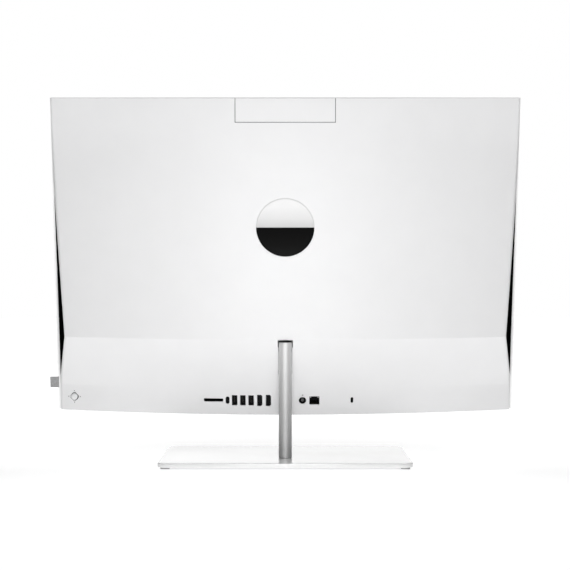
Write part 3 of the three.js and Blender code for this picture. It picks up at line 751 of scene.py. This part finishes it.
def make_front():
    """A slim rim with a flange behind the glass and the cloth, and a groove for the tab."""
    inner, top = HALF_WIDTH - LIP, BODY_HEIGHT - LIP
    outer = rounded_slab(-HALF_WIDTH, HALF_WIDTH, 0, BODY_HEIGHT, 1.4,
                         quarter_rounds(0, FRAME_DEPTH, 0.7, 2.2, 6), "y")
    cutters = [
        prism(rounded_outline(-inner, inner, GLASS_LOW, top, 1.2), -1, 1.8, "y"),
        prism(rounded_outline(-inner, inner, LIP, CHIN_TOP, 1.2), -1, 3.1, "y"),
        prism(rectangle(-FLANGE, FLANGE, GLASS_LOW, top), -1, 10, "y"),
        prism(rectangle(-FLANGE, FLANGE, LIP, CHIN_TOP), -1, 10, "y"),
        prism(rectangle(TAB_INNER - 0.3, HALF_WIDTH + 2, TAB_LOW - 0.2, TAB_HIGH + 0.2),
              3.0, 10, "y"),
    ]
    piece("bezel", combine(outer, cutters), "white_rim", "screen", ["front_frame"])
    glass = rounded_slab(-inner + 0.3, inner - 0.3, GLASS_LOW + 0.3, top - 0.3, 1,
                         quarter_rounds(0.3, 1.5, 0.25, 0.1, 3), "y")
    piece("screen_glass", glass, "dark_glass", "screen", ["front_glass"])


def make_speaker_cloth():
    """Cloth stretched over the strip under the screen, turned in at its edges."""
    half = HALF_WIDTH - LIP - 0.3
    bm = rounded_slab(-half, half, LIP + 0.3, CHIN_TOP - 0.3, 1.2,
                      quarter_rounds(0.2, 2.8, 0.8, 0.4), "y")
    made = piece("speaker_cloth", bm, "grey_fabric", "screen", ["speaker_grille"])


def make_cloth_tab():
    """A ribbon folded in two, sewn into the seam between frame and cover."""
    front, rear, thickness = 3.2, 4.6, 0.6
    middle, radius = (front + rear) / 2, (rear - front) / 2
    outline = []
    for i in range(13):
        angle = math.radians(-90 + 15 * i)
        outline.append((TAB_OUTER - radius + radius * math.cos(angle),
                        middle + radius * math.sin(angle)))
    outline += [(TAB_INNER, rear), (TAB_INNER, rear - thickness), (TAB_OUTER - 1, rear - thickness),
                (TAB_OUTER - 0.7, middle), (TAB_OUTER - 1, front + thickness),
                (TAB_INNER, front + thickness), (TAB_INNER, front)]
    made = piece("ribbon_tab", prism(outline, TAB_LOW, TAB_HIGH, "z"), "grey_fabric", "screen",
                 ["fabric_tab"])


make_front()
make_speaker_cloth()
make_cloth_tab()


# ---- Side grilles ----

def wall_point(side, depth, height, out):
    """A point on a side wall's plane at a depth and height, moved out from it."""
    lean = Vector((1, SIDE_SLOPE)).normalized()
    x = front_half(height) - SIDE_SLOPE * (depth - COVER_FRONT) + lean.x * out
    return (side * x, depth + lean.y * out, height)


def vent_reach(depth):
    """The heights between which the grille is open at a depth."""
    share = (depth - COVER_FRONT) / (VENT_REAR - COVER_FRONT)
    return between(share, VENT_LOW, CREASE), between(share, VENT_HIGH, CREASE)


def vent_strip(bm, side, front, rear, inner, outer):
    (low, high), (rear_low, rear_high) = vent_reach(front), vent_reach(rear)
    outline = [(front, low), (rear, rear_low), (rear, CREASE), (rear, rear_high), (front, high),
               (front, CREASE)]
    loft([[wall_point(side, depth, height, out) for depth, height in outline]
          for out in (inner, outer)], bm)


def make_side_vent(side, name):
    bm = bmesh.new()
    pitch, width, depth = 2.6, 1.5, COVER_FRONT + 0.25
    while depth + pitch < VENT_REAR - 0.4:
        vent_strip(bm, side, depth, depth + width, -2.3, -0.5)
        vent_strip(bm, side, depth + width, depth + pitch, -2.4, -1.7)
        depth += pitch
    piece(f"side_grille_{name}", bm, "vent_black", "screen", [f"side_vent_{name}"])


make_side_vent(1, "right")
make_side_vent(-1, "left")


# ---- Emblem and camera ----

LENS_HEIGHT = 404.6


def make_emblem():
    radius = EMBLEM_RADIUS
    profile = [(radius - 0.4, -1.2), (radius, -0.9), (radius, -0.1), (radius - 0.12, 0.17),
               (radius - 0.4, 0.3), (radius - 1.6, 0.3), (radius - 2.0, 0.22)]
    bm = turned(profile, 0, 0, "y", 128)
    piece("emblem", on_cover(bm, 0, EMBLEM_HEIGHT), "mirror_disc", "screen", ["emblem_disc"])


def make_camera():
    """The camera housing continues the rear cover's form, inside a bay edged by a black strip of
    painted shade.
    """
    half, low = CAMERA_HALF - 0.75, CAMERA_LOW + 0.75
    rows = [low - 3] + [low + 3 * i for i in range(10)] + [BODY_HEIGHT]
    housing = combine(cover_solid(0, COVER_FRONT, 0, 96, rows),
                      [prism(bay_outline(half, low), CAMERA_FRONT + 0.3, 40, "y")], "INTERSECT")
    seats = [prism(circle_outline(0, LENS_HEIGHT, 4.9), 4, 9, "y")]
    seats += [prism(circle_outline(x, LENS_HEIGHT, 1.3, 32), 4, 7, "y") for x in (-14, 14)]
    follow_cover(piece("camera_back", combine(housing, seats), "white_body", "camera",
                       ["camera_housing"]))
    barrel = turned([(4.7, 8.7), (4.7, 6.95), (4.55, 6.8), (4.2, 6.8), (3.4, 7.3), (2.6, 7.7)],
                    0, LENS_HEIGHT, "y")
    piece("lens_barrel", barrel, "black_plastic", "camera", ["camera_lens"])
    dome = turned([(2.6, 7.75), (2.6, 7.5), (2.0, 7.25), (1.1, 7.1), (0.2, 7.05)],
                  0, LENS_HEIGHT, "y")
    piece("lens_glass", dome, "dark_glass", "camera")
    sensors = bmesh.new()
    for x in (-14, 14):
        turned([(1.2, 7), (1.2, 6.6), (1.05, 6.5)], x, LENS_HEIGHT, "y", 32, sensors)
    piece("sensor_windows", sensors, "dark_glass", "camera")


def make_bay_shade():
    """A thin black strip round the camera's bay, just under the cover's face, as painted shade in the
    seam round the camera.
    """
    outer, inner = CAMERA_HALF + 0.02, CAMERA_HALF - 0.5
    sheet = combine(cover_solid(0.4, CAMERA_FRONT + 0.6, 0, 96),
                    [prism(bay_outline(outer, CAMERA_LOW - 0.02), CAMERA_FRONT, 40, "y")],
                    "INTERSECT")
    opening = prism(bay_outline(inner, CAMERA_LOW + 0.5), CAMERA_FRONT - 1, 60, "y")
    piece("bay_shade_strip", combine(sheet, [opening]), "black_plastic", "screen")


make_emblem()
make_camera()
make_bay_shade()


# ---- Sockets ----

BOARD_REAR = 20.3


def mouth_depth(x, height):
    """Where a socket ends, just under the cover's outer face."""
    return min(cover_depth(x, PORT_HEIGHT - height / 2), cover_depth(x, PORT_HEIGHT)) - 0.4


def filling(window_size, gap):
    """Half the width and half the height of a block that fills a window but for a gap."""
    width, height = window_size
    return width / 2 - gap, height / 2 - gap


def port_slab(x, half, tall, corner, start, end, rounding=0.2, into=None):
    """A rounded block behind a window, centred at port height."""
    return rounded_slab(x - half, x + half, PORT_HEIGHT - tall, PORT_HEIGHT + tall, corner,
                        quarter_rounds(start, end, 0.05, rounding, 3), "y", into)


def make_usb(index, x):
    """A steel can with a black tongue and four contacts."""
    half, tall = filling(USB_WINDOW, 0.35)
    mouth = mouth_depth(x, 13.5)
    can = combine(port_slab(x, half, tall, 0.7, BOARD_REAR, mouth),
                  [port_slab(x, half - 0.45, tall - 0.6, 0.5, mouth - 12, mouth + 1)])
    piece(f"usb_can_{index}", can, "socket_steel", "screen", [f"usb_socket_{index}"])
    tongue = port_slab(x + 1.25, 0.95, 5.5, 0.3, mouth - 11.9, mouth - 1.2, 0.5)
    piece(f"usb_tongue_{index}", tongue, "black_plastic", "screen")
    contacts = bmesh.new()
    for height in (-3.5, -1.1, 1.1, 3.5):
        low = PORT_HEIGHT + height
        rounded_slab(x + 0.14, x + 0.34, low - 0.5, low + 0.5, 0.09,
                     quarter_rounds(mouth - 11, mouth - 2, 0.05, 0.3, 3), "y", contacts)
    piece(f"usb_contacts_{index}", contacts, "gold", "screen")


def make_usb_c():
    half, tall = filling(USB_C_WINDOW, 0.35)
    mouth = mouth_depth(USB_C_X, 9.6)
    can = combine(port_slab(USB_C_X, half, tall, 2.0, BOARD_REAR, mouth),
                  [port_slab(USB_C_X, half - 0.45, tall - 0.45, 1.7, mouth - 7, mouth + 1)])
    piece("usb_c_can", can, "socket_steel", "screen", ["usb_c_socket"])
    tongue = port_slab(USB_C_X, 0.35, 3.3, 0.3, mouth - 6.9, mouth - 0.8, 0.25)
    piece("usb_c_tongue", tongue, "black_plastic", "screen")


def make_video(index, x):
    mouth = mouth_depth(x, 15)
    can = combine(prism(video_outline(x, 0.5), BOARD_REAR, mouth, "y"),
                  [prism(video_outline(x, 0.05), mouth - 9, mouth + 1, "y")])
    piece(f"video_can_{index}", can, "socket_steel", "screen", [f"video_socket_{index}"])
    tongue = port_slab(x + 0.4, 0.6, 5.8, 0.4, mouth - 8.9, mouth - 1, 0.4)
    piece(f"video_tongue_{index}", tongue, "black_plastic", "screen")


def network_notch(half, low, high, mouth):
    return prism(rectangle(NETWORK_X - half, NETWORK_X + half, PORT_HEIGHT + low,
                           PORT_HEIGHT + high), mouth - 12, mouth + 1, "y")


def make_network():
    """A plug cavity with a stepped latch notch, eight wires and a lamp in each upper corner."""
    mouth = mouth_depth(NETWORK_X, 12.2)
    lamp_width, lamp_height, lamp_low = 1.6, 1.7, PORT_HEIGHT + 3.3
    lamps, lamp_seats = bmesh.new(), []
    for left in (NETWORK_X - 5.9, NETWORK_X + 4.3):
        rounded_slab(left, left + lamp_width, lamp_low, lamp_low + lamp_height, 0.3,
                     quarter_rounds(mouth - 0.9, mouth + 0.05, 0.05, 0.2, 3), "y", lamps)
        seat = rectangle(left - 0.1, left + lamp_width + 0.1, lamp_low - 0.1,
                         lamp_low + lamp_height + 0.1)
        lamp_seats.append(prism(seat, mouth - 1, mouth + 1, "y"))
    half, tall = filling(NETWORK_WINDOW, 0.3)
    notches = [network_notch(5.7, -4.7, 2.1, mouth), network_notch(3.1, 0, 3.8, mouth),
               network_notch(1.8, 0, 4.9, mouth)]
    body = combine(port_slab(NETWORK_X, half, tall, 0.4, BOARD_REAR, mouth), notches + lamp_seats)
    piece("network_body", body, "black_plastic", "screen", ["network_socket"])
    piece("network_lamps", lamps, "lamp_plastic", "screen")
    wires = bmesh.new()
    for i in range(8):
        x = NETWORK_X + (i - 3.5) * 1.02
        low = PORT_HEIGHT - 4.6
        loft([lay(rectangle(x - 0.2, x + 0.2, low + lift, low + lift + 0.25), depth, "y")
              for lift, depth in ((0.1, mouth - 2), (0.4, mouth - 2.6), (2.6, mouth - 10.5))], wires)
    piece("network_wires", wires, "gold", "screen")


def make_jack():
    mouth = mouth_depth(JACK_X, 9)
    barrel = turned([(4.55, BOARD_REAR), (4.55, mouth - 0.25), (4.3, mouth), (3.9, mouth),
                     (3.6, mouth - 0.5), (3.6, mouth - 11)], JACK_X, PORT_HEIGHT, "y")
    piece("jack_barrel", barrel, "black_plastic", "screen", ["power_jack"])
    pin = turned([(1.9, mouth - 10.9), (1.9, mouth - 1.5), (1.65, mouth - 1.2), (1.2, mouth - 1.2),
                  (0.95, mouth - 1.5), (0.95, mouth - 6)], JACK_X, PORT_HEIGHT, "y", 48)
    piece("jack_pin", pin, "pin_nickel", "screen")
    tip = cover_depth(JACK_X, LIGHT_HEIGHT) - 0.2
    light = turned([(0.8, BOARD_REAR), (0.8, tip - 0.3), (0.6, tip - 0.08), (0.25, tip)],
                   JACK_X, LIGHT_HEIGHT, "y", 24)
    piece("light_guide", light, "lamp_plastic", "screen", ["status_light"])


def make_card_reader():
    half, tall = filling(CARD_WINDOW, 0.3)
    mouth = mouth_depth(CARD_X, 5)
    body = combine(port_slab(CARD_X, half, tall, 0.7, BOARD_REAR, mouth),
                   [port_slab(CARD_X, half - 0.8, tall - 0.8, 0.3, mouth - 14, mouth - 0.4),
                    port_slab(CARD_X, half - 0.4, tall - 0.45, 0.5, mouth - 0.6, mouth + 1)])
    piece("card_slot", body, "black_plastic", "screen", ["card_reader"])


def make_lock_plate():
    """A black plate behind the cover, with a blind slot in a lip that fills the cover's slot."""
    plate_half, plate_tall = 7, 9
    rear = cover_depth(LOCK_X - plate_half, PORT_HEIGHT - plate_tall) - WALL - 0.9
    mouth = mouth_depth(LOCK_X, 7)
    half, tall = filling(LOCK_WINDOW, 0.15)
    slot = port_slab(LOCK_X, half - 0.35, tall - 0.4, 1.2, rear - 1.5, mouth + 1)
    lip = combine(port_slab(LOCK_X, half, tall, 1.6, rear + 0.05, mouth), [slot.copy()])
    plate = combine(port_slab(LOCK_X, plate_half, plate_tall, 1.2, rear - 2, rear), [slot])
    piece("lock_sheet", plate, "black_plastic", "screen", ["lock_plate"])
    piece("lock_lip", lip, "black_plastic", "screen")


for index, x in enumerate(USB_X, 1):
    make_usb(index, x)
for index, x in enumerate(VIDEO_X, 1):
    make_video(index, x)
make_usb_c()
make_network()
make_jack()
make_card_reader()
make_lock_plate()


# ---- Joystick ----

JOYSTICK_PIVOT = 6.8


def make_joystick_cap():
    """A low dome, hollow underneath where the stem enters."""
    profile = [(1.5, 4.2), (1.5, 2.2), (4.15, 2.2), (4.4, 2.45), (4.4, 4.05), (4.28, 4.5),
               (3.95, 4.9), (3.3, 5.18), (2.4, 5.38), (1.2, 5.53), (0.2, 5.58)]
    bm = turned([(radius, JOYSTICK_PIVOT + level) for radius, level in profile],
                JOYSTICK_X, JOYSTICK_HEIGHT, "y")
    piece("joystick_dome", bm, "white_body", "joystick_cap", ["joystick_cap"], smooth=50)


def make_joystick_marks():
    """A grey disc sunk in each of the four dots round the joystick."""
    bm = bmesh.new()
    for a, b in JOYSTICK_DOTS:
        turned([(0.55, -0.45), (0.55, -0.2), (0.4, -0.12)], a, b, "y", 16, bm)
    piece("joystick_marks", on_cover(bm, JOYSTICK_X, JOYSTICK_HEIGHT), "black_plastic", "screen")


make_joystick_cap()
make_joystick_marks()


# ---- Stand ----

COLUMN_Y = sum(corner.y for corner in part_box("column")) / 2 / MM
PIVOT_HEIGHT = sum(corner.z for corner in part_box("tilt_pin")) / 2 / MM


def make_base():
    low, high = (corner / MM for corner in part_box("base_shell"))
    outer = rounded_slab(-high.x, high.x, -high.y, high.y, 16,
                         quarter_rounds(low.z, high.z, 0.8, 1.3, 6), "z")
    inset = 4
    pocket = rounded_slab(-high.x + inset, high.x - inset, -high.y + inset, high.y - inset, 12,
                          [(low.z - 2, 0), (high.z - 2.6, 0)], "z")
    bolt = prism(circle_outline(0, COLUMN_Y, 3.5), low.z - 2, high.z + 2, "z")
    piece("base_plate", combine(outer, [pocket, bolt]), "white_gloss", "stand", ["base_shell"],
          TO_STAND)


def make_feet():
    """Soft pads with rounded rims, one near each corner and a round one in the middle."""
    for index in range(1, 5):
        low, high = (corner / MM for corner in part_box(f"rubber_foot_{index}"))
        pad = rounded_slab(low.x, high.x, low.y, high.y, 3,
                           quarter_rounds(low.z, high.z, 0.35, 0.1, 4), "z")
        piece(f"foot_pad_{index}", pad, "grey_rubber", "stand", [f"rubber_foot_{index}"], TO_STAND)
    low, high = (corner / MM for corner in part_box("rubber_foot_centre"))
    radius = high.x
    pad = turned([(radius - 0.4, low.z), (radius - 0.1, low.z + 0.15), (radius, low.z + 0.4),
                  (radius, high.z)], 0, 0, "z")
    piece("foot_pad_centre", pad, "grey_rubber", "stand", ["rubber_foot_centre"], TO_STAND)


def make_column():
    """A tube open at its front for the bracket's lug, on a thin black ring of painted shade at its
    foot and under a crown.
    """
    low, high = (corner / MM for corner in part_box("column"))
    radius = high.x
    bore = radius - 2
    tube = turned([(bore, low.z), (radius - 0.3, low.z), (radius, low.z + 0.3),
                   (radius, high.z - 0.3), (radius - 0.3, high.z), (bore, high.z)],
                  0, COLUMN_Y, "z", 96, hollow=True)
    pin = prism(circle_outline(COLUMN_Y, PIVOT_HEIGHT, 2.8, 32), -12, 12, "x")
    slot = prism(rectangle(-4.6, 4.6, COLUMN_Y - 12, COLUMN_Y), PIVOT_HEIGHT - 8, high.z + 1, "z")
    piece("column_tube", combine(tube, [pin, slot]), "satin_aluminium", "stand", ["column"],
          TO_STAND)
    foot, crown = (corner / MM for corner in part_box("column_cap"))
    seat = foot.z + 1.2
    cap = turned([(bore - 0.3, foot.z), (bore - 0.3, seat), (radius - 0.35, seat),
                  (radius - 0.2, seat + 0.15), (radius - 0.2, seat + 0.35),
                  (radius - 0.75, crown.z - 0.05), (radius - 1.1, crown.z)], 0, COLUMN_Y, "z", 96)
    piece("column_crown", cap, "black_plastic", "stand", ["column_cap"], TO_STAND)
    # Painted shade: a thin black ring in the gap where the column meets the base, darkening the
    # contact line.
    top = low.z - 0.04
    foot_shade_ring = turned([(radius - 2, top - 0.24), (radius - 0.5, top - 0.24), (radius - 0.4, top - 0.1),
                     (radius - 0.5, top), (radius - 2, top)], 0, COLUMN_Y, "z", 96, hollow=True)
    piece("column_foot_shade", foot_shade_ring, "black_plastic", "stand", place=TO_STAND)


make_base()
make_feet()
make_column()


# ---- Every CAD node that still shows ----

replaced = set()
for made in bpy.context.scene.objects:
    replaced.update(made.get("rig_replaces") or [])
for entry in frame["record"]["subparts"]:
    node = nodes[entry["node"]]
    node.data.materials.clear()
    node.data.materials.append(looks[entry["material_slot"]])
    if entry["node"] not in replaced:
        bevel = node.modifiers.new("edges", "BEVEL")
        bevel.width = 0.0002
        bevel.segments = 2
        bevel.limit_method = "ANGLE"
        bevel.angle_limit = math.radians(50)
